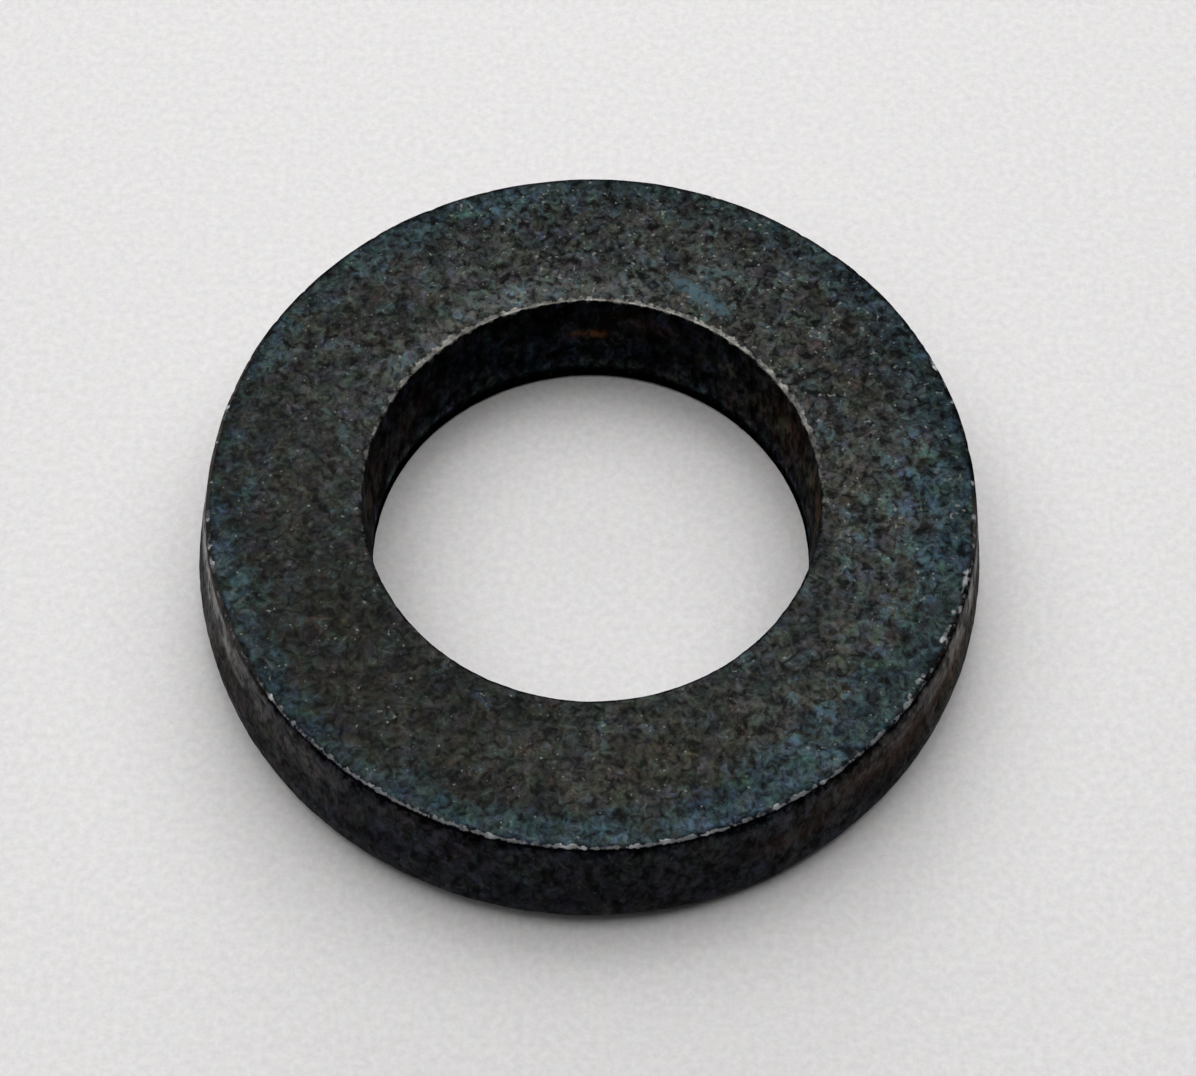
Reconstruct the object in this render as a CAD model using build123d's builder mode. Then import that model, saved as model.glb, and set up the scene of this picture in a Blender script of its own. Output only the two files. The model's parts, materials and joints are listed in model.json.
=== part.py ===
from build123d import *
import os

# Extra-thick flat washer, blanked and pierced from steel plate in one stroke of a compound die.
# Millimetres. +Z is up along the axis of the hole. The origin is the centre of the hole, level with
# the lower bearing face.

# Driving dimensions
outer_diameter = 30.0
hole_diameter = 17.0
thickness = 5.5

# A compound die leaves the same marks on the rim and in the hole, the same way up: a rolled lower
# edge, a land sheared to size, and a torn zone above it that draws back from the land.
rim_roll_radius = 0.9
rim_land_top = 1.7
rim_draw_in = 0.62
hole_roll_radius = 0.2
hole_land_top = 2.6
hole_opening_out = 0.1

# The upper edges are tumbled, which takes off the burr
rim_wear_radius = 0.2
hole_wear_radius = 0.18

# Radii of the section's six corners
rim_radius = outer_diameter / 2
rim_top_radius = rim_radius - rim_draw_in
hole_radius = hole_diameter / 2
hole_top_radius = hole_radius + hole_opening_out

os.makedirs("parts", exist_ok=True)

# Washer: the half section turned once about the axis of the hole
with BuildPart() as washer:
    with BuildSketch(Plane.XZ) as half_section:
        with BuildLine():
            Polyline(
                (hole_radius, 0),
                (rim_radius, 0),
                (rim_radius, rim_land_top),
                (rim_top_radius, thickness),
                (hole_top_radius, thickness),
                (hole_radius, hole_land_top),
                close=True,
            )
        make_face()
        for corner, radius in (
            ((rim_radius, 0), rim_roll_radius),
            ((hole_radius, 0), hole_roll_radius),
            ((rim_top_radius, thickness), rim_wear_radius),
            ((hole_top_radius, thickness), hole_wear_radius),
        ):
            fillet(half_section.vertices().sort_by_distance(corner)[0], radius=radius)
    revolve(axis=Axis.Z)

washer.part.label = "washer"
export_step(washer.part, "parts/washer.step")
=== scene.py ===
"""Extra-thick flat washer in black oxide: one blanked ring of hardened steel on a pale surface.

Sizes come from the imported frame. The ring's section, wear and masks are worked out in millimetres, and
Blender objects are in metres. Azimuths are degrees, anticlockwise from +X seen from above, and the camera
stands at 270.
"""
import json
import math

import bpy
import numpy as np
from mathutils import Matrix, Vector, noise


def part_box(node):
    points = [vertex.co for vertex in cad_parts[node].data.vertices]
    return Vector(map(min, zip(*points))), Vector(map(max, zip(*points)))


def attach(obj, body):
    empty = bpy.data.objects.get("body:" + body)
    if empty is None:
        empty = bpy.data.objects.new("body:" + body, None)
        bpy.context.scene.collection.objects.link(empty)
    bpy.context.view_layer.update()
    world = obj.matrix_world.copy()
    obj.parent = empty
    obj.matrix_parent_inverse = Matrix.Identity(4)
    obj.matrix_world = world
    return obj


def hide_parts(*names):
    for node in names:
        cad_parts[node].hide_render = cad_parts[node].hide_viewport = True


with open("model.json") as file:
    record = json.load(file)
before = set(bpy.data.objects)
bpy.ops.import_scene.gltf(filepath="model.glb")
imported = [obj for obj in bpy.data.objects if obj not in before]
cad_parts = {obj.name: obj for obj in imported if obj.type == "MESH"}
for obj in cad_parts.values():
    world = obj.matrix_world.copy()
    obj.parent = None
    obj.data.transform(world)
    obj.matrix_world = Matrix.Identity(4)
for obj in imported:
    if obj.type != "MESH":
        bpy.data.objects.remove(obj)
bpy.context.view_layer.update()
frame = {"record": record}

MM = 0.001
NODE = "washer"

# Sizes read from the frame, in millimetres
high_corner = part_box(NODE)[1]
bore_mount = next(m for m in frame["record"]["mounts"] if m["name"] == "bore")
THICKNESS = high_corner.z / MM
RIM_RADIUS = high_corner.x / MM
HOLE_RADIUS = bore_mount["dims"]["r_mm"]

# Section of the ring, in millimetres
RIM_ROLL = 0.9
RIM_LAND_TOP = 1.7
RIM_DRAW_IN = 0.62
LIP_RADIUS = RIM_RADIUS - RIM_DRAW_IN
LIP_ROUND = 0.17
HOLE_ROLL = 0.2
HOLE_LAND_TOP = 2.6
HOLE_OPENING_OUT = 0.1
HOLE_TOP_RADIUS = HOLE_RADIUS + HOLE_OPENING_OUT
HOLE_EDGE_ROUND = 0.18
SOFT_BEND = 1.5
SEGMENTS = 1020

# The section's corners, up the rim, over the face and down the hole: radius, height, radius of the bend,
# steps round the bend and steps along the straight after it
SECTION = (
    (RIM_RADIUS, 0, RIM_ROLL, 7, 3),
    (RIM_RADIUS, RIM_LAND_TOP, SOFT_BEND, 2, 17),
    (LIP_RADIUS, THICKNESS, LIP_ROUND, 8, 28),
    (HOLE_TOP_RADIUS, THICKNESS, HOLE_EDGE_ROUND, 7, 8),
    (HOLE_RADIUS, HOLE_LAND_TOP, SOFT_BEND, 2, 8),
    (HOLE_RADIUS, 0, HOLE_ROLL, 4, 4),
)

# The middle of a round is this share of its radius inside the corner
ROUND_INSET = 0.29

# Noise for shapes: how fast smaller clouds fade, and how much smaller each octave is
CLOUD_FADE = 0.9
CLOUD_STEP = 2.1

# Burr at the lip, with a bead on it and an undercut below it, in millimetres, and nicks in degrees
BURR_INSET = 0.1
BURR_REACH = 0.22
BURR_SHORT_WAVE = 0.013
BURR_LONG_WAVE = 0.035
BEAD_INSET = 0.15
BEAD_WIDTH = 0.09
BEAD_HEIGHT = 0.02
BEAD_WAVE = 0.008
UNDERCUT_BELOW = 0.36
UNDERCUT_HALF_HEIGHT = 0.12
UNDERCUT_DEPTH = 0.1
UNDERCUT_WAVE = 0.02
NICKS = 46
NICK_SEED = 16
NICK_HALF_TURN = (0.15, 0.6)
NICK_DEPTH = (0.01, 0.04)
NICK_DROP = 0.6

# Torn wall of the rim, smoother under the lip, with a step where the land ends
TORN_GRAIN = 0.014
TORN_SWELL = 0.018
SMOOTH_START = 3.2
SMOOTH_END = 3.9
SMOOTH_SHARE = 0.75
STEP_HEIGHT = 1.9
STEP_WAVE = 0.12
STEP_HALF_HEIGHT = 0.09
STEP_DEPTH = 0.02
RIM_SWAY = 0.03
RIM_SHIFT_RADII = (12.0, 14.0)
RIM_OFF_CENTRE = 0.055

# Upper face: where it starts to fall away, over what width and how far, then its unevenness and dents
FALL_TO_HOLE = (9.75, 1.0, 0.065)
FALL_TO_RIM = (13.4, 0.8, 0.02)
FALL_LIMIT = 1.1
FACE_SWELL = 0.012
FACE_GRAIN = 0.006
DENTS = 240
DENT_SEED = 30
DENT_RADIUS = (8.9, 14.1)
DENT_SIZE = (0.08, 0.22)
DENT_DEPTH = (0.006, 0.02)

# Wall and upper edge of the hole
HOLE_GRAIN = 0.014
HOLE_SWELL = 0.012
RIDGE_HEIGHT = 1.1
RIDGE_WAVE = 0.06
RIDGE_HALF_HEIGHT = 0.16
RIDGE_OUT = 0.03
HOLE_EDGE_INSET = 0.12
HOLE_EDGE_REACH = 0.22
HOLE_EDGE_WAVE = 0.025
HOLE_EDGE_RISE = 0.012

# Heights of the band with painted sheen and of the undercut with painted shade: where that starts, is
# full, starts to fade and ends
BAND_HEIGHTS = (3.3, 3.9, 4.9, 5.1)
UNDERCUT_SHADE_HEIGHTS = (5.02, 5.2, 5.36, 5.42)
# The hole's foot, painted black as shade, fades between these heights; the pale ridge, partly a painted
# highlight, is this half height
FOOT_SHADE_HEIGHTS = (0.6, 0.8)
PALE_RIDGE_HALF_HEIGHT = 0.24

# How much the lip is worn to the metal, partly a painted highlight strongest at the front, and undercut
# round the ring: azimuth in degrees, wear, undercut
LIP_WEAR_AND_HIGHLIGHT = (
    (0, 0.25, 0.3), (20, 0.15, 0.3), (45, 0.05, 0.3), (90, 0.05, 0.3), (135, 0.05, 0.3), (165, 0.15, 0.1),
    (185, 0.25, 0.0), (199, 0.25, 0.0), (211, 0.25, 0.1), (221, 0.8, 0.8), (229, 0.9, 0.95),
    (245, 1.0, 1.0), (270, 1.1, 1.0), (290, 1.0, 1.0), (308, 0.85, 0.9), (322, 0.5, 0.7), (333, 0.3, 0.3),
    (348, 0.25, 0.1),
)
# Brightly rubbed places on the lip, with painted highlights: azimuth in degrees, half turn, strength
LIP_RUBS_AND_HIGHLIGHTS = (
    (217.5, 0.5, 1.3), (256.7, 0.5, 0.8), (267.2, 0.8, 0.9), (269.9, 0.7, 0.9), (276.6, 0.9, 0.8),
    (287.3, 0.7, 0.7), (318.0, 0.5, 0.4), (323.8, 0.7, 0.35), (328.5, 0.5, 0.4), (334.5, 0.5, 0.4),
    (341.0, 0.4, 0.4), (346.5, 0.5, 0.45), (352.0, 0.3, 0.5), (357.0, 0.3, 0.5), (24.0, 0.7, 1.2),
    (17.3, 0.4, 1.2), (71.6, 0.4, 0.8), (3.0, 0.3, 0.7), (166.2, 0.4, 1.1), (172.5, 0.3, 0.7),
    (179.5, 0.4, 0.7), (183.0, 0.3, 0.6), (186.2, 0.4, 0.6), (190.7, 0.4, 0.7), (193.2, 0.4, 0.5),
    (197.0, 0.3, 0.3), (204.0, 0.3, 0.2), (262.0, 0.5, 0.4), (281.5, 0.7, 0.5), (298.0, 0.6, 0.5),
    (238.0, 0.6, 0.4), (247.0, 0.5, 0.5), (306.0, 0.5, 0.5),
)
# How bright the smooth band under the lip is, as painted sheen, none at the front: azimuth in degrees,
# strength
BURNISH_AND_SHEEN = (
    (0, 0.55), (60, 0.4), (120, 0.4), (178, 0.9), (190, 1.2), (202, 1.1), (212, 0.65), (220, 0.12),
    (240, 0.0), (270, 0.0), (300, 0.0), (314, 0.12), (324, 0.4), (334, 0.72), (346, 0.95),
)
# How much the hole's upper edge is worn, partly a painted highlight strongest at the back of the hole,
# and how wide the worn round is: azimuth, wear, millimetres
HOLE_WEAR_AND_HIGHLIGHT = (
    (0, 0.15, 0.07), (12, 0.55, 0.12), (22, 0.75, 0.13), (34, 0.85, 0.12), (50, 0.95, 0.11),
    (68, 1.0, 0.11), (92, 1.0, 0.09), (112, 1.0, 0.1), (130, 0.85, 0.12), (150, 0.5, 0.11),
    (165, 0.3, 0.1), (182, 0.2, 0.1), (200, 0.05, 0.08), (225, 0.0, 0.05), (270, 0.0, 0.05),
    (315, 0.0, 0.05), (345, 0.0, 0.05),
)
# Blue oxide fades out at this many of its widths from the lip, and its widths vary about their mean
BLUE_REACH = 1.35
BLUE_MEAN = 1.1
BLUE_VARIES = 0.5
# Blue oxide along the outer edge of the face: azimuth in degrees, width in millimetres, strength
BLUE_RIM = (
    (2, 2.6, 1.15), (15, 2.0, 0.95), (40, 1.4, 0.95), (65, 1.3, 0.75), (85, 1.3, 0.8), (105, 1.6, 1.0),
    (122, 1.4, 1.0), (150, 1.1, 0.75), (175, 1.1, 0.65), (197, 1.6, 1.0), (212, 1.3, 0.85),
    (228, 1.0, 0.8), (248, 1.2, 1.05), (266, 1.3, 1.1), (284, 1.2, 0.9), (296, 2.0, 1.1),
    (308, 2.5, 1.15), (322, 2.3, 1.05), (340, 2.0, 1.0), (352, 2.7, 1.3),
)
# How strong the mottling is round the ring: azimuth in degrees, strength
CONTRAST = (
    (0, 1.07), (50, 1.12), (95, 1.15), (140, 0.98), (185, 0.82), (225, 0.82), (270, 0.9), (315, 0.96),
)

# A smear of solid blue oxide near the hole, as points: azimuth, radius, half width in millimetres
SMEAR = (
    (57.7, 9.50, 0.02), (58.6, 9.52, 0.16), (60.5, 9.60, 0.25), (63.3, 9.72, 0.31), (66.6, 9.85, 0.31),
    (69.9, 9.97, 0.26), (72.0, 10.08, 0.16), (73.6, 10.30, 0.0),
)
# Pale scuffs on the face, each in the same way
SCUFFS = (
    ((82.5, 10.35, 0.02), (81.5, 10.0, 0.03), (80.0, 9.6, 0.03), (78.6, 9.3, 0.02)),
    ((85.0, 9.95, 0.02), (84.0, 9.7, 0.03), (83.2, 9.4, 0.02)),
    ((79.5, 9.35, 0.02), (76.5, 9.15, 0.03), (74.0, 9.3, 0.02)),
    ((47.0, 10.6, 0.01), (45.5, 10.9, 0.02), (44.5, 11.3, 0.01)),
    ((194.5, 14.3, 0.03), (193.3, 14.0, 0.01)), ((195.6, 14.1, 0.01), (194.6, 13.6, 0.02)),
    ((199.1, 13.9, 0.02), (197.4, 13.3, 0.01)), ((201.2, 13.8, 0.02), (199.8, 13.2, 0.01)),
    ((194.8, 12.5, 0.01), (193.6, 12.0, 0.01)),
    ((202.7, 13.8, 0.02), (202.8, 13.5, 0.02), (204.2, 13.3, 0.01)),
    ((210.8, 13.8, 0.02), (213.6, 13.7, 0.01)),
)
# Bare streaks on the inner shoulder of the lip, each in the same way
LIP_STREAKS = (
    ((348.0, 14.19, -0.02), (345.4, 14.22, 0.03), (343.9, 14.20, -0.01)),
    ((338.2, 14.18, -0.02), (336.2, 14.20, 0.03), (334.8, 14.14, 0.0)),
    ((340.5, 14.16, 0.01), (340.2, 14.16, 0.01)), ((329.1, 14.19, 0.01), (328.8, 14.19, 0.01)),
    ((327.8, 14.14, 0.03), (327.4, 14.14, 0.03)), ((324.9, 14.18, 0.0), (324.3, 14.20, 0.0)),
)

# Oval patches on the face: azimuth, radius, half turn in degrees, half width in millimetres, strength
BLUE_CLOUDS = (
    (112, 9.7, 6, 0.4, 0.5), (352, 10.6, 5, 0.4, 0.6), (342, 10.0, 5, 0.35, 0.5), (356, 9.8, 3, 0.3, 0.5),
    (66, 11.5, 8, 0.7, 0.35), (128, 9.9, 5, 0.4, 0.4), (318, 10.4, 4, 0.5, 0.4), (48, 10.9, 4, 0.4, 0.4),
    (46, 10.0, 3, 0.3, 0.35), (83, 12.0, 6, 0.5, 0.3), (100, 11.8, 5, 0.5, 0.3), (188, 9.7, 5, 0.4, 0.3),
    (240, 9.6, 8, 0.3, 0.25), (262, 9.7, 4, 0.3, 0.3),
)
BROWN_CLOUDS = (
    (245, 11.3, 34, 1.5, 0.9), (285, 11.3, 26, 1.3, 0.8), (205, 10.9, 16, 1.2, 0.6),
    (25, 10.8, 14, 0.8, 0.5), (2, 9.7, 6, 0.6, 0.6), (175, 11.6, 10, 0.8, 0.4), (160, 10.8, 5, 0.5, 0.5),
    (78, 12.6, 12, 0.8, 0.2),
)
# Lighter and darker parts of the face, in the same way: partly varied tone, partly painted light, lighter
# along the back of the hole's edge and darker along its front
FACE_TONES_AND_LIGHT = (
    (105, 9.4, 42, 0.7, 0.42), (115, 9.15, 42, 0.3, 0.6), (357, 10.8, 18, 1.7, 0.3),
    (300, 12.6, 22, 1.0, 0.2), (222, 9.8, 32, 1.3, -0.22), (270, 9.4, 30, 0.7, -0.15),
    (65, 11.6, 14, 1.2, 0.15), (45, 13.4, 45, 0.8, -0.25), (200, 12.6, 50, 1.3, -0.22),
    (275, 13.1, 30, 0.6, -0.15), (310, 11.6, 20, 1.0, 0.15), (8, 9.6, 14, 0.8, 0.25),
    (66, 10.4, 10, 0.6, 0.2), (85, 14.1, 30, 0.4, -0.4), (168, 14.1, 14, 0.4, -0.35),
    (226, 14.1, 10, 0.4, -0.3), (335, 14.1, 8, 0.4, -0.3), (15, 14.1, 14, 0.4, -0.3),
    (215, 9.3, 35, 0.6, -0.22), (82, 9.2, 8, 0.4, 0.3), (125, 9.2, 16, 0.4, 0.25),
    (308, 10.3, 8, 0.6, 0.15), (338, 10.3, 8, 0.6, 0.15), (8, 12.8, 7, 0.6, 0.2),
    (308, 13.5, 7, 0.5, 0.2), (84, 12.7, 18, 0.6, -0.15), (278, 10.7, 8, 0.9, -0.15),
    (330, 12.8, 10, 0.6, -0.15), (235, 12.8, 8, 0.6, -0.2), (158, 14.0, 16, 0.5, -0.15),
    (112, 9.2, 10, 0.35, 0.3), (150, 9.3, 12, 0.4, 0.3), (195, 10.3, 28, 0.5, -0.15),
    (202, 13.7, 7, 0.5, 0.25), (352, 9.9, 14, 0.7, 0.17), (42, 9.8, 9, 0.7, 0.17),
    (292, 12.9, 8, 0.5, -0.15), (278, 10.3, 8, 0.6, -0.12), (248, 9.2, 14, 0.4, -0.15),
    (310, 13.8, 16, 0.4, 0.15), (15, 13.4, 9, 0.7, -0.3), (30, 9.2, 9, 0.5, 0.35),
    (77, 9.25, 9, 0.4, 0.6), (140, 9.25, 20, 0.45, 0.55), (196, 13.95, 8, 0.35, 0.45),
    (225, 13.2, 8, 0.5, -0.2), (270, 14.0, 34, 0.25, 0.3), (300, 13.95, 8, 0.3, 0.3),
)
# Oval patches on the walls: azimuth, height, half turn in degrees, half height in millimetres, strength.
# First the lighter and darker parts of the rim's wall and of the hole's, and the painted highlight on the
# outside of the lip
RIM_TONES = (
    (240, 3.4, 14, 3.0, 0.5), (224, 4.2, 8, 1.2, 0.7), (298, 4.5, 7, 0.5, 0.9), (318, 2.5, 6, 2.0, -0.35),
    (308, 3.4, 6, 0.8, -0.2), (196, 2.8, 10, 1.2, 0.55), (324, 3.2, 13, 1.8, -0.35),
    (275, 1.5, 28, 1.0, -0.18), (340, 2.9, 7, 0.9, -0.2),
)
BORE_TONES = (
    (95, 2.0, 60, 1.0, 0.6), (50, 3.0, 12, 2.0, 0.6), (72, 3.6, 8, 1.2, 0.3), (8, 3.4, 13, 2.0, 0.45),
    (150, 2.0, 9, 0.9, -0.35), (110, 2.2, 14, 0.8, 0.3),
)
SILL_HIGHLIGHT = ((170, 5.4, 13, 0.4, 1.3), (203, 5.35, 10, 0.35, 0.8), (355, 5.4, 5, 0.4, 0.8))
# Then rust, and where the walls are tan
BORE_RUST = (
    (95.0, 3.05, 1.9, 0.15, 1.6), (91.3, 3.15, 2.2, 0.15, 2.0), (88.2, 3.3, 1.3, 0.15, 1.6),
    (80, 4.2, 8, 0.7, 0.12), (28, 4.2, 9, 0.7, 0.12), (148, 2.9, 9, 0.6, 0.15),
)
RIM_RUST = (
    (311, 4.0, 7, 0.7, 0.25), (322, 3.4, 6, 0.9, 0.25), (300, 2.9, 6, 0.6, 0.2), (336, 3.4, 8, 0.8, 0.3),
)
BORE_TAN = (
    (20, 3.4, 18, 1.9, 0.55), (0, 4.2, 8, 1.2, 0.6), (48, 3.0, 14, 2.0, 0.15), (166, 3.2, 9, 1.8, 0.4),
    (145, 4.2, 8, 0.8, 0.12), (110, 4.6, 10, 0.4, 0.1), (180, 3.2, 9, 1.8, 0.4), (78, 4.0, 8, 0.7, 0.1),
)
RIM_TAN = (
    (331, 3.6, 12, 2.0, 0.6), (312, 3.6, 8, 1.4, 0.15), (349, 3.2, 14, 2.0, 0.8),
    (205, 2.6, 14, 2.0, 0.35), (222, 3.2, 7, 1.2, 0.2),
)

# Colours of the oxide, of stains on it and of bare steel: linear red, green, blue and alpha
GREY_OXIDE = (0.0149, 0.0178, 0.0162, 1)
BROWN_OXIDE = (0.0158, 0.0158, 0.0113, 1)
BLUE_OXIDE = (0.0115, 0.0262, 0.0318, 1)
RIM_WALL = (0.0070, 0.0083, 0.0118, 1)
# Painted sheen: the lighter colour of the burnished band under the lip
BURNISHED_SHEEN = (0.0350, 0.0300, 0.0240, 1)
RIM_WALL_TAN = (0.0270, 0.0205, 0.0105, 1)
# Painted shade: near black in the undercut under the lip
UNDERCUT_SHADE = (0.0012, 0.0012, 0.0014, 1)
HOLE_WALL = (0.0046, 0.0059, 0.0082, 1)
HOLE_WALL_TAN = (0.0250, 0.0165, 0.0085, 1)
# A paler ridge on the hole's wall, partly a painted highlight along it
HOLE_RIDGE_AND_HIGHLIGHT = (0.0200, 0.0250, 0.0260, 1)
# Painted shade: near black on the foot of the hole's wall
HOLE_FOOT_SHADE = (0.0008, 0.0008, 0.0009, 1)
# Painted shadow: a dark outline round the smear
SMEAR_EDGE_SHADOW = (0.0050, 0.0070, 0.0070, 1)
SMEAR_MIDDLE = (0.0450, 0.0860, 0.1060, 1)
SMEAR_EDGE = (0.0430, 0.0730, 0.0760, 1)
RUST = (0.1050, 0.0430, 0.0190, 1)
SPECK = (0.1600, 0.1650, 0.1500, 1)
PIT = (0.0030, 0.0030, 0.0035, 1)
# Painted highlight: tan on the lip's outer round where grazing light catches it
SILL_HIGHLIGHT_TAN = (0.0620, 0.0560, 0.0460, 1)
SCUFF = (0.0980, 0.1080, 0.0960, 1)
# Bare metal on the lip's crest and white rubs, partly painted highlights
LIP_METAL_AND_HIGHLIGHT = (0.2100, 0.2160, 0.2240, 1)
RUBBED_METAL_HIGHLIGHT = (0.6000, 0.6100, 0.6200, 1)
# Bare metal of the hole's upper edge, partly a painted highlight
HOLE_EDGE_METAL_AND_HIGHLIGHT = (0.2300, 0.2210, 0.2020, 1)
STREAK_METAL = (0.2600, 0.2650, 0.2700, 1)

# Tints that follow noise over the oxide: size of the noise, detail, roughness, distortion, and the tint
# where the noise is low and where it's high
TINTS = (
    (0.60, 3.0, 0.6, 0.8, (0.72, 0.98, 1.34, 1), (1.28, 1.02, 0.66, 1)),
    (1.90, 2.0, 0.6, 0.5, (0.88, 1.00, 1.14, 1), (1.12, 1.00, 0.86, 1)),
    (0.75, 3.0, 0.6, 0.5, (1.20, 0.80, 1.12, 1), (0.80, 1.20, 0.86, 1)),
)

# Floor, in metres, with the darkest and lightest colour of its grain
FLOOR_HALF = 4.0
FLOOR_DARK = (0.743, 0.727, 0.729, 1)
FLOOR_LIGHT = (0.855, 0.839, 0.837, 1)

# Camera: where it stands, as seen from the centre of the washer's lower face, in metres and radians
CAMERA_ELEVATION = math.radians(61.23)
CAMERA_DISTANCE = 0.11212
CAMERA_ROLL = 0.0193
CAMERA_AIM_RIGHT = 0.000274
CAMERA_AIM_UP = 0.000921
CAMERA_FOCAL_PIXELS = 2869.0
CAMERA_CLIP_START = 0.01
FRAME_WIDTH = 1196
SENSOR_WIDTH = 36.0

# Softboxes above, behind and beside the washer: azimuth and elevation in degrees, width in metres,
# power in watts
LIGHT_DISTANCE = 0.45
SKY_STRENGTH = 0.015
SOFTBOXES = (
    (90, 74, 0.16, 0.28), (180, 74, 0.16, 0.25), (0, 74, 0.16, 0.22),
    (30, 55, 0.26, 0.39), (90, 55, 0.26, 0.30), (150, 55, 0.26, 0.40), (210, 55, 0.26, 0.16),
    (90, 22, 0.26, 0.49), (135, 22, 0.26, 0.08),
)


# ---------------------------------------------------------------- the ring's section

def line(start, end, count):
    """Points from start towards end, without end, closer together near both."""
    even = np.arange(count)[:, None] / count
    share = (even + (1 - np.cos(math.pi * even)) / 2) / 2
    return np.array(start) + (np.array(end) - np.array(start)) * share


def corner(before, at, after, radius, count):
    """Points of a round on the corner at, from the side of before to that of after."""
    first = np.subtract(before, at) / np.hypot(*np.subtract(before, at))
    last = np.subtract(after, at) / np.hypot(*np.subtract(after, at))
    half = math.acos(float(first @ last)) / 2
    middle = np.array(at) + (first + last) / np.hypot(*(first + last)) * radius / math.sin(half)
    tangent = radius / math.tan(half)
    start = math.atan2(*(at + first * tangent - middle)[::-1])
    end = math.atan2(*(at + last * tangent - middle)[::-1])
    sweep = (end - start + math.pi) % (2 * math.pi) - math.pi
    angles = start + sweep * np.arange(count + 1) / count
    return middle + radius * np.stack([np.cos(angles), np.sin(angles)], -1)


def ring_section():
    """The half section as a closed loop of points (radius, height), from the rolled edge up the rim."""
    corners = [(radius, height) for radius, height, *_ in SECTION]
    bends = []
    for i, (_, _, rounding, steps, _) in enumerate(SECTION):
        bends.append(corner(corners[i - 1], corners[i], corners[(i + 1) % len(corners)], rounding, steps))
    pieces = []
    for bend, following, (*_, steps) in zip(bends, bends[1:] + bends[:1], SECTION):
        pieces += [bend[:-1], line(bend[-1], following[0], steps)]
    return np.concatenate(pieces)


# ---------------------------------------------------------------- helpers for shape and masks

def bump(distance, width):
    """A soft hump: 1 at no distance, 0.37 at width."""
    return np.exp(-(distance / width) ** 2)


def ramp(value, start, end):
    """0 at start, 1 at end, smooth between."""
    share = np.clip((value - start) / (end - start), 0, 1)
    return share * share * (3 - 2 * share)


def stretch(value, start, full, fade, end):
    """0 up to start, 1 from full to fade, and 0 again from end."""
    return ramp(value, start, full) * (1 - ramp(value, fade, end))


def clouds(points, size, octaves, shift):
    """Fractal noise, about -1 to 1, whose largest features are about size across."""
    scaled = points / np.asarray(size) + shift
    values = [noise.fractal(p, CLOUD_FADE, CLOUD_STEP, octaves) for p in scaled.reshape(-1, 3)]
    return np.array(values).reshape(scaled.shape[:-1])


def ring_clouds(ring, radius, size, octaves, shift):
    """Noise along a circle of that radius, the same over the whole section."""
    circle = [radius * np.cos(ring.angles), radius * np.sin(ring.angles), 0 * ring.angles]
    return ring.spread(clouds(np.stack(circle, -1), size, octaves, shift))


def turn_between(theta, azimuth):
    """Signed angle in degrees from azimuth, in degrees, to theta, in radians."""
    return (np.degrees(theta) - azimuth + 180) % 360 - 180


def patch(theta, across, azimuth, place, half_turn, half_width):
    """A soft oval patch at that azimuth and place: 1 in its middle."""
    turn = turn_between(theta, azimuth) / half_turn
    aside = (across - place) / half_width
    return np.exp(-turn ** 2 - aside ** 2)


def patches(ring, across, table):
    """The sum of the table's oval patches."""
    total = 0 * across
    for azimuth, place, half_turn, half_width, strength in table:
        total += strength * patch(ring.theta, across, azimuth, place, half_turn, half_width)
    return total


def around(ring, stations, column=1, reach=0.16):
    """A value that passes smoothly through the stations round the ring. Reach is in radians."""
    azimuth = np.radians([s[0] for s in stations])
    values = np.array([s[column] for s in stations], float)
    turn = (ring.angles[:, None] - azimuth + math.pi) % (2 * math.pi) - math.pi
    near = np.exp(-(turn / reach) ** 2) + 1e-9
    return ring.spread((near * values).sum(1) / near.sum(1))


class Ring:
    """The washer's surface as a grid of angle by section point, and where its face and walls are."""

    def __init__(self):
        section = ring_section()
        self.angles = np.arange(SEGMENTS) * 2 * math.pi / SEGMENTS
        self.theta, self.r = np.meshgrid(self.angles, section[:, 0], indexing="ij")
        self.z = np.repeat(section[:, 1][None], SEGMENTS, 0)
        self.r0 = self.r.copy()
        self.z0 = self.z.copy()
        self.points = self.place()
        self.top = ramp(self.z0, THICKNESS - 0.12, THICKNESS - 0.02)
        self.wall = ramp(self.r0, LIP_RADIUS - 0.23, LIP_RADIUS - 0.02) * ramp(self.z0, 0.0, 0.3)
        self.bore = 1 - ramp(self.r0, HOLE_TOP_RADIUS + 0.02, HOLE_TOP_RADIUS + 0.12)

    def place(self):
        """The grid's points in space."""
        return np.stack([self.r * np.cos(self.theta), self.r * np.sin(self.theta), self.z], -1)

    def spread(self, values):
        """One value for each angle, repeated over the section."""
        return np.repeat(values[:, None], self.r.shape[1], 1)

    def from_stroke(self, stroke):
        """Distance outside a stroke on the face, in millimetres, down to -0.5 inside it and up to 1."""
        x, y = self.points[..., 0], self.points[..., 1]
        ends = []
        for azimuth, radius, half in stroke:
            turn = math.radians(azimuth)
            ends.append((radius * math.cos(turn), radius * math.sin(turn), half))
        nearest = np.ones(x.shape)
        for (x1, y1, half1), (x2, y2, half2) in zip(ends, ends[1:]):
            length = math.hypot(x2 - x1, y2 - y1)
            along = np.clip(((x - x1) * (x2 - x1) + (y - y1) * (y2 - y1)) / length ** 2, 0, 1)
            away = np.hypot(x - x1 - along * (x2 - x1), y - y1 - along * (y2 - y1))
            nearest = np.minimum(nearest, away - half1 - along * (half2 - half1))
        return np.clip(nearest, -0.5, 1.0)

    def from_strokes(self, strokes):
        """Distance outside the nearest stroke, in the same way."""
        return np.minimum.reduce([self.from_stroke(stroke) for stroke in strokes])

    def from_crest(self, radius, rounding, side):
        """Distance in section from the middle of an upper round, in millimetres, up to 1."""
        inset = rounding * ROUND_INSET
        return np.minimum(np.hypot(self.r0 - radius - side * inset, self.z0 - THICKNESS + inset), 1.0)


# ---------------------------------------------------------------- shape: burr, tearing and dents

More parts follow.
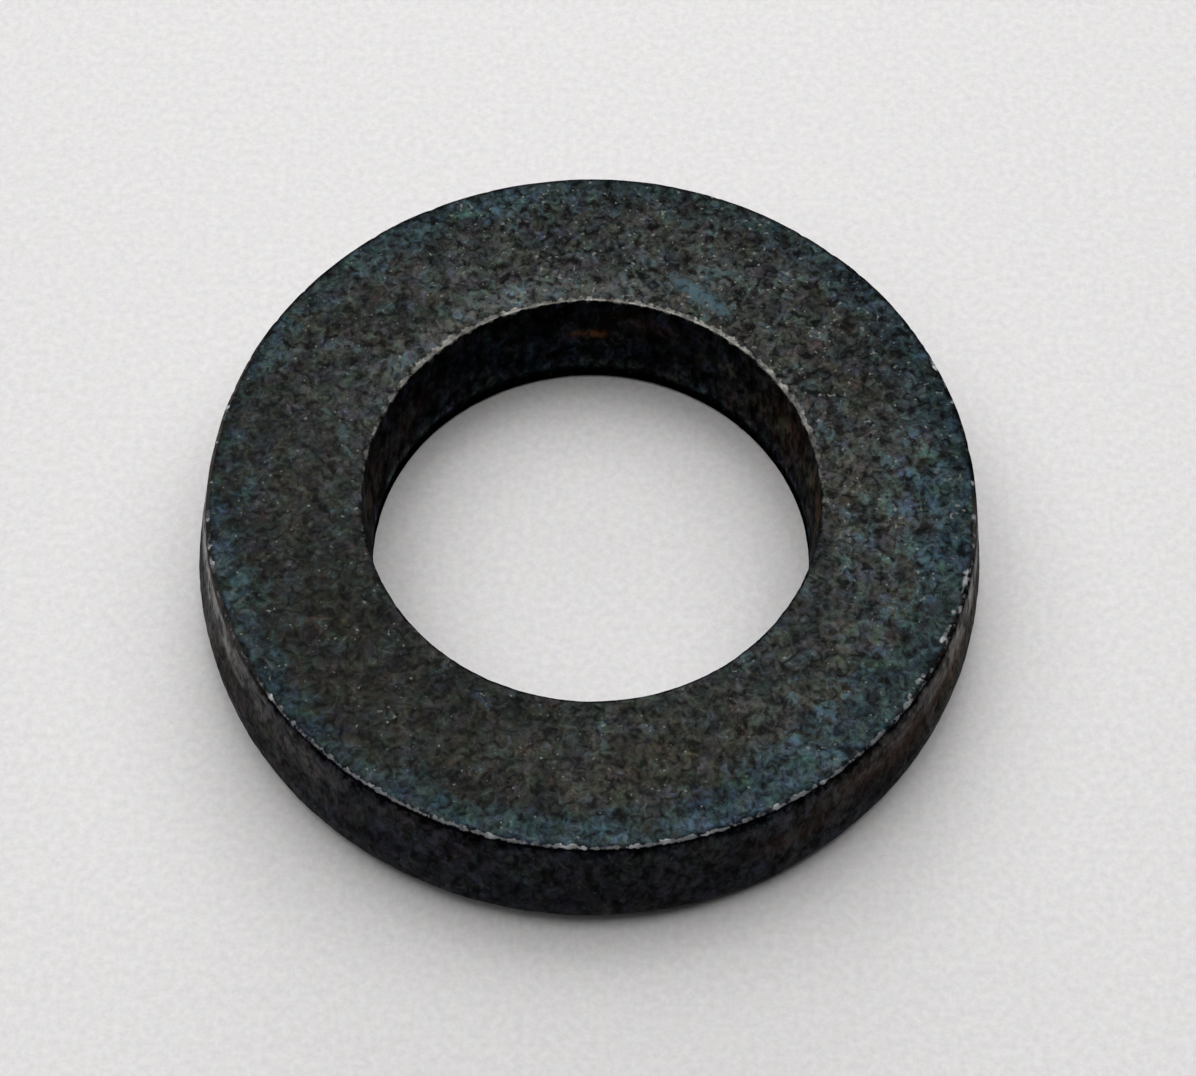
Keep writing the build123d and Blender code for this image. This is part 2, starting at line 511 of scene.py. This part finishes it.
def wear_lip(ring):
    """The burr's crest: a wavy bead at the outer edge, with nicks, over a narrow undercut."""
    short = ring_clouds(ring, LIP_RADIUS, size=0.9, octaves=4, shift=3.1)
    long = ring_clouds(ring, LIP_RADIUS, size=9.0, octaves=2, shift=7.7)
    near = bump(np.hypot(ring.r0 - LIP_RADIUS + BURR_INSET, ring.z0 - THICKNESS), BURR_REACH)
    ring.r += near * (BURR_SHORT_WAVE * short + BURR_LONG_WAVE * long)
    bead = bump(ring.r0 - LIP_RADIUS + BEAD_INSET, BEAD_WIDTH) * ring.top
    ring.z += bead * (BEAD_HEIGHT + BEAD_WAVE * short)
    undercut = bump(ring.z0 - THICKNESS + UNDERCUT_BELOW, UNDERCUT_HALF_HEIGHT) * ring.wall
    ring.r -= undercut * (UNDERCUT_DEPTH + UNDERCUT_WAVE * long) * around(ring, LIP_WEAR_AND_HIGHLIGHT, column=2)
    draws = np.random.default_rng(NICK_SEED)
    for _ in range(NICKS):
        azimuth = draws.uniform(0, 360)
        half_turn = draws.uniform(*NICK_HALF_TURN)
        depth = draws.uniform(*NICK_DEPTH)
        nick = near * bump(turn_between(ring.theta, azimuth), half_turn)
        ring.r -= nick * depth
        ring.z -= nick * depth * NICK_DROP


def tear_rim(ring):
    """The torn zone above the rim's land, rough below and smooth under the lip, from a small step up."""
    rough = clouds(ring.points, size=(0.35, 0.35, 0.6), octaves=4, shift=11.0)
    coarse = clouds(ring.points, size=(1.6, 1.6, 2.2), octaves=3, shift=5.0)
    smooth = SMOOTH_SHARE * ramp(ring.z0, SMOOTH_START, SMOOTH_END)
    ring.r += ring.wall * (1 - smooth) * TORN_GRAIN * rough
    ring.r += ring.wall * TORN_SWELL * coarse
    step = STEP_HEIGHT + STEP_WAVE * ring_clouds(ring, RIM_RADIUS, size=3.0, octaves=3, shift=2.0)
    ring.r -= ring.wall * STEP_DEPTH * bump(ring.z0 - step, STEP_HALF_HEIGHT)
    ring.r += ring.wall * RIM_SWAY * ring_clouds(ring, RIM_RADIUS, size=12.0, octaves=2, shift=9.0)


def dish_face(ring):
    """The upper face falls away a little towards the hole and towards the rim, and is faintly uneven."""
    start, width, depth = FALL_TO_HOLE
    to_hole = np.clip((start - ring.r0) / width, 0, FALL_LIMIT)
    ring.z -= ring.top * depth * to_hole ** 2
    start, width, depth = FALL_TO_RIM
    to_rim = np.clip((ring.r0 - start) / width, 0, FALL_LIMIT) * ring.top
    ring.z -= ring.top * depth * to_rim ** 2
    ring.z += ring.top * FACE_SWELL * clouds(ring.points, size=2.4, octaves=4, shift=1.0)
    ring.z += ring.top * FACE_GRAIN * clouds(ring.points, size=0.4, octaves=3, shift=4.0)


def dent_face(ring):
    """Small dents scattered over the upper face."""
    x, y = ring.points[..., 0], ring.points[..., 1]
    draws = np.random.default_rng(DENT_SEED)
    for _ in range(DENTS):
        azimuth = draws.uniform(0, 2 * math.pi)
        radius = draws.uniform(*DENT_RADIUS)
        size = draws.uniform(*DENT_SIZE)
        away = np.hypot(x - radius * math.cos(azimuth), y - radius * math.sin(azimuth))
        ring.z -= ring.top * bump(away, size) * draws.uniform(*DENT_DEPTH)


def tear_hole(ring):
    """The hole's wall is torn above and carries a ridge near its foot, and its upper edge is uneven."""
    inside = ring.bore * ramp(ring.z0, 0.0, 0.25)
    ring.r += inside * HOLE_GRAIN * clouds(ring.points, size=(0.4, 0.4, 0.7), octaves=4, shift=21.0)
    ring.r += inside * HOLE_SWELL * clouds(ring.points, size=1.8, octaves=3, shift=17.0)
    ridge = RIDGE_HEIGHT + RIDGE_WAVE * ring_clouds(ring, HOLE_RADIUS, size=2.5, octaves=3, shift=6.0)
    ring.r -= inside * RIDGE_OUT * bump(ring.z0 - ridge, RIDGE_HALF_HEIGHT)
    wave = ring_clouds(ring, HOLE_RADIUS, size=1.1, octaves=4, shift=8.0)
    near = bump(np.hypot(ring.r0 - HOLE_RADIUS - HOLE_EDGE_INSET, ring.z0 - THICKNESS), HOLE_EDGE_REACH)
    ring.r += near * HOLE_EDGE_WAVE * wave
    ring.z += near * HOLE_EDGE_RISE * wave


def shift_rim(ring):
    """The blanking punch stood a little off centre, so the rim's land is off centre from the lip."""
    low = 1 - ramp(ring.z0, RIM_LAND_TOP - 0.2, THICKNESS)
    ring.r -= RIM_OFF_CENTRE * np.cos(ring.theta) * low * ramp(ring.r0, *RIM_SHIFT_RADII)


# ---------------------------------------------------------------- masks, which the material reads

def oxide_masks(ring):
    """Where the oxide is blue, brown, tan, rusty, lighter or darker, with painted light in the face's
    tone, and more or less mottled.
    """
    wobble = clouds(ring.points, size=1.5, octaves=4, shift=40.0)
    width = around(ring, BLUE_RIM) * (BLUE_MEAN + BLUE_VARIES * wobble)
    fade = np.clip(BLUE_REACH - (LIP_RADIUS - ring.r0) / width, 0, 1)
    blue = around(ring, BLUE_RIM, column=2) * fade
    blue += patches(ring, ring.r0, BLUE_CLOUDS)
    rust = ring.bore * patches(ring, ring.z0, BORE_RUST) + ring.wall * patches(ring, ring.z0, RIM_RUST)
    # The face's tone is partly painted light: lighter along the back of the hole's edge, darker along its
    # front
    tone = 1 + ring.top * patches(ring, ring.r0, FACE_TONES_AND_LIGHT)
    tone += ring.wall * patches(ring, ring.z0, RIM_TONES) + ring.bore * patches(ring, ring.z0, BORE_TONES)
    return {
        "blue": ring.top * np.minimum(blue, 1.3),
        "brown": ring.top * np.minimum(patches(ring, ring.r0, BROWN_CLOUDS), 1.0),
        "tan": ring.wall * patches(ring, ring.z0, RIM_TAN),
        "bore_tan": ring.bore * np.minimum(patches(ring, ring.z0, BORE_TAN), 1.0),
        "rust": rust,
        "tone": tone,
        "contrast": around(ring, CONTRAST, reach=0.3) * (1 + 0.3 * ring.wall),
    }


def place_masks(ring):
    """Which part of the section a point is on: the walls, the painted sheen, the undercut and foot in
    painted shade, and the ridge and sill with painted highlights.
    """
    band = stretch(ring.z0, *BAND_HEIGHTS)
    undercut = stretch(ring.z0, *UNDERCUT_SHADE_HEIGHTS)
    lip_face = ramp(ring.r0, LIP_RADIUS - 0.13, LIP_RADIUS - 0.09)
    return {
        "wall": ring.wall,
        "bore": ring.bore * ramp(ring.z0, 0.0, 0.2),
        # The burnished band, with its sheen painted in by azimuth
        "smooth": ring.wall * around(ring, BURNISH_AND_SHEEN) * band,
        # Painted shade in the undercut under the lip, as strong as the undercut is deep
        "undercut_shade": ring.wall * undercut * around(ring, LIP_WEAR_AND_HIGHLIGHT, column=2),
        # Painted highlight on the lip's outer round
        "sill_highlight": lip_face * patches(ring, ring.z0, SILL_HIGHLIGHT),
        # Painted shade on the foot of the hole's wall
        "foot": ring.bore * (1 - ramp(ring.z0, *FOOT_SHADE_HEIGHTS)),
        # The ridge on the hole's wall, partly a painted highlight along it
        "ridge": ring.bore * bump(ring.z0 - RIDGE_HEIGHT, PALE_RIDGE_HALF_HEIGHT),
    }


def wear_and_highlight_masks(ring):
    """How far a point is from the strokes and edges, and how much the edges are worn there, partly as
    painted highlights.
    """
    rub_highlights = 0 * ring.r
    for azimuth, half_turn, strength in LIP_RUBS_AND_HIGHLIGHTS:
        rub_highlights += strength * bump(turn_between(ring.theta, azimuth), half_turn)
    return {
        "smear": ring.from_stroke(SMEAR),
        "scuffs": ring.from_strokes(SCUFFS),
        "lip_streaks": ring.from_strokes(LIP_STREAKS),
        "from_lip": ring.from_crest(LIP_RADIUS, LIP_ROUND, -1),
        "from_hole": ring.from_crest(HOLE_TOP_RADIUS, HOLE_EDGE_ROUND, 1),
        # Wear of the lip and of the hole's edge, partly painted highlights strongest where the edges face
        # the front
        "lip_wear_and_highlight": around(ring, LIP_WEAR_AND_HIGHLIGHT),
        "lip_rubs_and_highlights": rub_highlights,
        "hole_wear_and_highlight": around(ring, HOLE_WEAR_AND_HIGHLIGHT),
        "hole_width": around(ring, HOLE_WEAR_AND_HIGHLIGHT, column=2),
    }


def ring_faces(rows, columns):
    """Quads between neighbouring points of the grid, which closes on itself both ways."""
    i, j = np.meshgrid(np.arange(rows), np.arange(columns), indexing="ij")
    next_i = (i + 1) % rows
    next_j = (j + 1) % columns
    quads = (i * columns + j, next_i * columns + j, next_i * columns + next_j, i * columns + next_j)
    return np.stack(quads, -1).reshape(-1, 4)


def build_ring():
    """The washer's one mesh, with its masks as attributes of its points."""
    ring = Ring()
    for shape in (wear_lip, tear_rim, dish_face, dent_face, tear_hole, shift_rim):
        shape(ring)
    ring.z = np.maximum(ring.z, 0)
    mesh = bpy.data.meshes.new("washer_ring")
    mesh.from_pydata((ring.place().reshape(-1, 3) * MM).tolist(), [], ring_faces(*ring.r.shape).tolist())
    mesh.shade_smooth()
    for name, values in {**oxide_masks(ring), **place_masks(ring), **wear_and_highlight_masks(ring)}.items():
        attribute = mesh.attributes.new(name, "FLOAT", "POINT")
        attribute.data.foreach_set("value", values.ravel().astype(np.float32))
    piece = bpy.data.objects.new("washer_ring", mesh)
    bpy.context.scene.collection.objects.link(piece)
    return piece


# ---------------------------------------------------------------- materials

class Graph:
    """A small helper that adds shader nodes and links them."""

    def __init__(self, name):
        self.material = bpy.data.materials.new(name)
        self.material.use_nodes = True
        self.tree = self.material.node_tree
        self.shader = self.tree.nodes["Principled BSDF"]
        place = self.node("ShaderNodeTexCoord").outputs["Object"]
        self.place = self.stretched(place, (1, 1, 0.55))
        self.along_rim = self.stretched(place, (0.45, 0.45, 3.0))

    def set(self, socket, value):
        """Link a value from a node, or set a constant."""
        if isinstance(value, bpy.types.NodeSocket):
            self.tree.links.new(value, socket)
        else:
            socket.default_value = value

    def node(self, kind, inputs=(), **settings):
        """Add a node, with its settings and its inputs."""
        made = self.tree.nodes.new(kind)
        for key, value in settings.items():
            setattr(made, key, value)
        for key, value in dict(inputs).items():
            self.set(made.inputs[key], value)
        return made

    def stretched(self, place, scale):
        """Coordinates for noise that is shorter where scale is more than 1."""
        return self.node("ShaderNodeVectorMath", {0: place, 1: scale}, operation="MULTIPLY").outputs[0]

    def math(self, operation, *values):
        """Combine two or more values, from left to right."""
        result = values[0]
        for value in values[1:]:
            result = self.node("ShaderNodeMath", {0: result, 1: value}, operation=operation).outputs[0]
        return result

    def add(self, *values):
        return self.math("ADD", *values)

    def multiply(self, *values):
        return self.math("MULTIPLY", *values)

    def subtract(self, a, b):
        return self.math("SUBTRACT", a, b)

    def span(self, value, low, high, to_low=0.0, to_high=1.0):
        """Map low to high onto to_low to to_high, and hold the ends."""
        inputs = {"Value": value, "From Min": low, "From Max": high, "To Min": to_low, "To Max": to_high}
        return self.node("ShaderNodeMapRange", inputs).outputs["Result"]

    def swing(self, value, to_low=0.0, to_high=1.0):
        """Map the usual reach of a noise onto to_low to to_high."""
        return self.span(value, 0.3, 0.7, to_low, to_high)

    def noise(self, size, detail=3.0, roughness=0.6, distortion=0.0, output="Fac", place=None):
        """Noise whose features are about size millimetres across."""
        inputs = {"Vector": place or self.place, "Scale": 1 / (size * MM), "Detail": detail,
                  "Roughness": roughness, "Distortion": distortion}
        return self.node("ShaderNodeTexNoise", inputs).outputs[output]

    def mask(self, name):
        """A mask that the mesh carries."""
        return self.node("ShaderNodeAttribute", attribute_name=name).outputs["Fac"]

    def mix(self, share, a, b, blend="MIX"):
        """Mix colour b into a by that share, or blend it with a in another way."""
        made = self.node("ShaderNodeMix", data_type="RGBA", blend_type=blend)
        for key, value in (("Factor_Float", share), ("A_Color", a), ("B_Color", b)):
            self.set(next(s for s in made.inputs if s.identifier == key), value)
        return next(s for s in made.outputs if s.identifier == "Result_Color")


class Oxide(Graph):
    """The washer's material, laid on in coats, from the oxide to the bare metal."""

    def __init__(self):
        super().__init__("black_oxide")
        self.fine = self.noise(0.40, roughness=0.68, distortion=0.7)
        self.curls = self.noise(0.34, detail=2.0, roughness=0.5, distortion=1.0)
        self.medium = self.noise(1.0, distortion=0.4)
        self.large = self.noise(3.6, detail=2.0, roughness=0.5, distortion=0.4)
        self.ragged = self.swing(self.noise(0.3, detail=2.0), -0.08, 0.08)
        # Painted glints: brighter and darker stretches along bare metal
        self.gleam = self.span(self.noise(0.55, detail=2.0), 0.36, 0.64, 0.5, 1.6)
        self.colour = self.mix(self.mask("brown"), GREY_OXIDE, BROWN_OXIDE)

    def coat(self, share, colour):
        """Cover what is there with a colour, by that share."""
        self.colour = self.mix(share, self.colour, colour)

    def shade(self, factor):
        """Multiply what is there by a factor or a tint."""
        self.colour = self.mix(1.0, self.colour, factor, "MULTIPLY")

    def blue_the_edge(self):
        """Blue oxide in torn clouds, mostly along the outer edge of the face."""
        torn = self.add(self.swing(self.medium, -0.45, 0.45), self.swing(self.curls, -0.35, 0.35))
        self.coat(self.span(self.add(self.mask("blue"), torn), 0.25, 0.85), BLUE_OXIDE)

    def colour_rim_wall(self):
        """A darker wall, with a burnished band under the lip whose sheen is painted in, tan stretches,
        and painted shade in the undercut.
        """
        self.coat(self.mask("wall"), RIM_WALL)
        streaks = self.span(self.noise(0.5, distortion=0.2, place=self.along_rim), 0.35, 0.6, 0.45, 1.2)
        gaps = self.span(self.noise(0.8), 0.40, 0.50, 0.25, 1.0)
        self.burnish_and_sheen = self.multiply(self.mask("smooth"), streaks, gaps)
        # Painted sheen: the burnished band is lighter at the sides of the ring
        self.coat(self.burnish_and_sheen, BURNISHED_SHEEN)
        self.coat(self.mask("tan"), RIM_WALL_TAN)
        # Painted shade: near black in the undercut under the lip
        self.coat(self.mask("undercut_shade"), UNDERCUT_SHADE)

    def colour_hole_wall(self):
        """A dark wall, brown in places, with a paler ridge, partly a painted highlight, over a foot
        painted black as shade.
        """
        self.coat(self.mask("bore"), HOLE_WALL)
        self.coat(self.mask("bore_tan"), HOLE_WALL_TAN)
        # Partly painted highlight: a paler ridge along the hole's wall
        self.coat(self.mask("ridge"), HOLE_RIDGE_AND_HIGHLIGHT)
        # Painted shade: near black on the foot of the hole's wall
        self.coat(self.mask("foot"), HOLE_FOOT_SHADE)

    def outline_smear(self):
        """How far a point is outside the smear's torn outline, and where the smear is."""
        torn = self.add(self.swing(self.fine, -0.22, 0.22), self.swing(self.curls, -0.14, 0.14))
        self.from_smear = self.add(self.mask("smear"), torn)
        self.smear = self.span(self.from_smear, 0.05, 0.02)

    def mottle(self):
        """Light and dark at four sizes, calmer in the smear and with one more size in the hole."""
        tone = self.multiply(
            self.span(self.fine, 0.30, 0.72, 0.12, 2.12),
            self.swing(self.curls, 0.28, 1.76),
            self.swing(self.medium, 0.62, 1.38),
            self.swing(self.large, 0.78, 1.22),
        )
        contrast = self.multiply(self.subtract(tone, 1.0), self.mask("contrast"))
        tone = self.multiply(self.math("MAXIMUM", self.add(contrast, 1.0), 0.16), self.mask("tone"))
        calm = self.multiply(self.subtract(1.15, tone), 0.6)
        tone = self.add(tone, self.multiply(self.smear, calm))
        deeper = self.multiply(tone, self.span(self.noise(0.7), 0.35, 0.65, 0.2, 1.8))
        self.tone = self.add(tone, self.multiply(self.mask("bore"), self.subtract(deeper, tone)))
        self.shade(self.tone)

    def tint(self):
        """Faint warm and cold, green and violet tints."""
        for size, detail, roughness, distortion, low, high in TINTS:
            share = self.swing(self.noise(size, detail, roughness, distortion))
            self.shade(self.mix(share, low, high))

    def paint_smear(self):
        """Solid blue oxide, greyer at its edge, with a painted shadow as a dark outline round it."""
        # Painted shadow: a dark outline round the smear's edge
        self.coat(self.multiply(self.span(self.from_smear, 0.16, 0.06), 0.55), SMEAR_EDGE_SHADOW)
        solid = self.mix(self.span(self.from_smear, -0.12, 0.0), SMEAR_MIDDLE, SMEAR_EDGE)
        solid = self.mix(1.0, solid, self.swing(self.curls, 0.65, 1.25), "MULTIPLY")
        self.coat(self.smear, solid)

    def rust_over(self):
        """Rust on the walls, broken up by noise."""
        rust = self.multiply(self.mask("rust"), self.span(self.noise(0.3, roughness=0.7), 0.32, 0.52))
        self.coat(self.math("MINIMUM", rust, 1.0), RUST)

    def speckle(self):
        """Pale specks where grit has nicked the oxide, few of them on the walls, and dark pits in it."""
        likely = self.span(self.mask("contrast"), 0.95, 1.15, 0.0, 0.045)
        speck = self.noise(0.19, detail=1.0, roughness=0.4)
        speck = self.add(speck, self.swing(self.medium, -0.08, 0.08), likely)
        on_bore = self.span(self.mask("bore"), 0.0, 0.5, 1.0, 0.1)
        on_wall = self.span(self.mask("wall"), 0.0, 0.5, 1.0, 0.15)
        self.coat(self.multiply(self.span(speck, 0.72, 0.80), on_bore, on_wall), SPECK)
        pit = self.noise(0.34, detail=1.0, roughness=0.5, distortion=0.3)
        self.pit = self.multiply(self.span(pit, 0.37, 0.32), 0.6)
        self.coat(self.pit, PIT)

    def wear_and_highlight_lip(self):
        """The lip: black where it isn't worn, bare metal on its crest where it is, white where rubbed,
        partly painted highlights, and a painted highlight on its outer round.
        """
        from_lip = self.mask("from_lip")
        wear_and_highlight = self.mask("lip_wear_and_highlight")
        rub_highlight = self.multiply(self.mask("lip_rubs_and_highlights"), 0.8)
        grain = self.span(self.noise(0.45, roughness=0.7), 0.36, 0.64, -0.6, 0.4)
        self.unworn = self.multiply(self.span(from_lip, 0.16, 0.04), self.span(wear_and_highlight, 0.0, 1.0, 0.75, 0.0))
        self.coat(self.unworn, PIT)
        # Painted highlight: tan on the lip's outer round
        sill_highlight = self.multiply(self.mask("sill_highlight"), self.span(self.medium, 0.3, 0.6, 0.3, 1.0))
        self.coat(sill_highlight, SILL_HIGHLIGHT_TAN)
        from_crest = self.subtract(self.add(from_lip, self.ragged), self.multiply(rub_highlight, 0.04))
        crest = self.span(from_crest, 0.07, 0.03)
        self.lip = self.multiply(crest, self.span(self.add(wear_and_highlight, rub_highlight, grain), 0.25, 0.85))
        # Partly painted highlight: bare metal on the crest, strongest at the front
        self.coat(self.lip, LIP_METAL_AND_HIGHLIGHT)
        # Partly painted highlights: white where the lip is rubbed
        self.coat(self.multiply(self.lip, rub_highlight), RUBBED_METAL_HIGHLIGHT)

    def wear_and_highlight_hole_edge(self):
        """The hole's upper edge: uneven bare metal with painted highlights and glints, as wide as it is
        worn there.
        """
        grain = self.span(self.noise(0.4, roughness=0.7), 0.36, 0.62, -0.4, 0.2)
        wear_and_highlight = self.add(self.mask("hole_wear_and_highlight"), grain)
        outside = self.add(self.mask("from_hole"), self.multiply(self.ragged, 1.3))
        reach = self.subtract(self.mask("hole_width"), outside)
        self.hole_edge = self.multiply(self.span(reach, -0.03, 0.04), self.span(wear_and_highlight, 0.1, 0.95))
        # Partly painted highlight: bare metal on the hole's edge, with painted glints
        self.coat(self.hole_edge, self.mix(1.0, HOLE_EDGE_METAL_AND_HIGHLIGHT, self.gleam, "MULTIPLY"))

    def scratch(self):
        """Bare streaks on the lip's inner shoulder and pale scuffs on the face."""
        from_streak = self.add(self.mask("lip_streaks"), self.multiply(self.ragged, 0.6))
        # Painted glints along the bare streaks
        metal = self.mix(1.0, STREAK_METAL, self.gleam, "MULTIPLY")
        self.coat(self.span(from_streak, 0.07, 0.02), metal)
        from_scuff = self.add(self.mask("scuffs"), self.swing(self.curls, -0.03, 0.03))
        self.coat(self.multiply(self.span(from_scuff, 0.06, 0.02), 0.5), SCUFF)

    def roughness(self, bare):
        """Rougher on the walls, smoother where burnished or bare."""
        walls = self.math("MAXIMUM", self.mask("wall"), self.mask("bore"))
        rough = self.add(self.swing(self.fine, 0.45, 0.62), self.multiply(walls, 0.15))
        rough = self.subtract(rough, self.multiply(self.burnish_and_sheen, 0.30))
        return self.subtract(rough, self.multiply(bare, 0.10))

    def gloss(self):
        """Specular level: low on the walls, higher where burnished, and following the mottling."""
        shine = self.span(self.mask("wall"), 0.0, 1.0, 0.13, 0.06)
        shine = self.subtract(shine, self.multiply(self.mask("bore"), 0.125))
        shine = self.add(shine, self.multiply(self.burnish_and_sheen, 0.32))
        shine = self.multiply(shine, self.span(self.tone, 0.0, 2.5, 0.1, 2.4))
        shine = self.multiply(shine, self.subtract(1.0, self.unworn))
        # Less gloss where the hole's foot and the undercut carry painted shade
        black = self.math("MAXIMUM", self.mask("foot"), self.mask("undercut_shade"))
        return self.math("MAXIMUM", self.subtract(shine, self.multiply(black, 0.3)), 0.0)

    def bumps(self):
        """Fine relief of the oxide, with its pits."""
        height = self.add(self.multiply(self.fine, 0.7), self.multiply(self.curls, 0.4))
        height = self.subtract(height, self.multiply(self.pit, 0.15))
        inputs = {"Height": height, "Strength": 0.6, "Distance": 0.03 * MM}
        return self.node("ShaderNodeBump", inputs).outputs["Normal"]


def oxide_material():
    """Black oxide from the lowest coat up, and then its metal, roughness, gloss and relief."""
    oxide = Oxide()
    oxide.blue_the_edge()
    oxide.colour_rim_wall()
    oxide.colour_hole_wall()
    oxide.outline_smear()
    oxide.mottle()
    oxide.tint()
    oxide.paint_smear()
    oxide.rust_over()
    oxide.speckle()
    oxide.wear_and_highlight_lip()
    oxide.wear_and_highlight_hole_edge()
    oxide.scratch()
    bare = oxide.math("MAXIMUM", oxide.lip, oxide.hole_edge)
    surface = {
        "Base Color": oxide.colour,
        "Metallic": oxide.multiply(bare, 0.5),
        "Roughness": oxide.roughness(bare),
        "Specular IOR Level": oxide.gloss(),
        "Normal": oxide.bumps(),
    }
    for name, value in surface.items():
        oxide.set(oxide.shader.inputs[name], value)
    return oxide.material


def floor_material():
    """A pale, finely grained surface."""
    g = Graph("pale_surface")
    colour = g.mix(g.span(g.noise(0.3, roughness=0.7), 0.32, 0.68), FLOOR_DARK, FLOOR_LIGHT)
    colour = g.mix(0.10, colour, g.noise(0.7, detail=2.0, output="Color"), "OVERLAY")
    bumps = g.node("ShaderNodeBump", {"Height": g.noise(0.25), "Strength": 0.25, "Distance": 0.02 * MM})
    g.set(g.shader.inputs["Base Color"], colour)
    g.set(g.shader.inputs["Roughness"], 0.55)
    g.set(g.shader.inputs["Normal"], bumps.outputs["Normal"])
    return g.material


# ---------------------------------------------------------------- camera, floor and lights

def add_camera():
    """A camera that looks down on the washer from the front, rolled a little."""
    back = Vector((0, -math.cos(CAMERA_ELEVATION), math.sin(CAMERA_ELEVATION)))
    up = Vector((0, math.sin(CAMERA_ELEVATION), math.cos(CAMERA_ELEVATION)))
    level = Matrix((Vector((1, 0, 0)), up, back)).transposed()
    turned = level @ Matrix.Rotation(CAMERA_ROLL, 3, "Z")
    aim = Vector((CAMERA_AIM_RIGHT, CAMERA_AIM_UP, 0))
    camera = bpy.data.objects.new("camera", bpy.data.cameras.new("camera"))
    camera.matrix_world = Matrix.Translation(back * CAMERA_DISTANCE + turned @ aim) @ turned.to_4x4()
    camera.data.sensor_width = SENSOR_WIDTH
    camera.data.lens = CAMERA_FOCAL_PIXELS / FRAME_WIDTH * SENSOR_WIDTH
    camera.data.clip_start = CAMERA_CLIP_START
    bpy.context.scene.collection.objects.link(camera)
    bpy.context.scene.camera = camera


def add_floor():
    """The surface that the washer lies on."""
    corners = [(x * FLOOR_HALF, y * FLOOR_HALF, 0) for x, y in ((-1, -1), (1, -1), (1, 1), (-1, 1))]
    mesh = bpy.data.meshes.new("floor")
    mesh.from_pydata(corners, [], [(0, 1, 2, 3)])
    floor = bpy.data.objects.new("floor", mesh)
    bpy.context.scene.collection.objects.link(floor)
    floor.data.materials.append(floor_material())


def add_light(name, place, size, power):
    """A round softbox that faces the washer."""
    light = bpy.data.lights.new(name, "AREA")
    light.shape = "DISK"
    light.size = size
    light.energy = power
    lamp = bpy.data.objects.new(name, light)
    lamp.location = place
    lamp.rotation_euler = (-Vector(place)).to_track_quat("-Z", "Y").to_euler()
    bpy.context.scene.collection.objects.link(lamp)


def add_lights():
    """A dim sky and the softboxes round the washer."""
    world = bpy.data.worlds.new("studio")
    bpy.context.scene.world = world
    world.use_nodes = True
    background = world.node_tree.nodes["Background"]
    background.inputs["Color"].default_value = (1, 1, 1, 1)
    background.inputs["Strength"].default_value = SKY_STRENGTH
    for azimuth, elevation, width, power in SOFTBOXES:
        turn = math.radians(azimuth)
        lift = math.radians(elevation)
        out = LIGHT_DISTANCE * math.cos(lift)
        place = (out * math.cos(turn), out * math.sin(turn), LIGHT_DISTANCE * math.sin(lift))
        add_light("softbox_%d_%d" % (azimuth, elevation), place, width, power)


bpy.context.scene.view_settings.view_transform = "Standard"
washer_ring = build_ring()
washer_ring.data.materials.append(oxide_material())
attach(washer_ring, "root")
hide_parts(NODE)
add_camera()
add_floor()
add_lights()
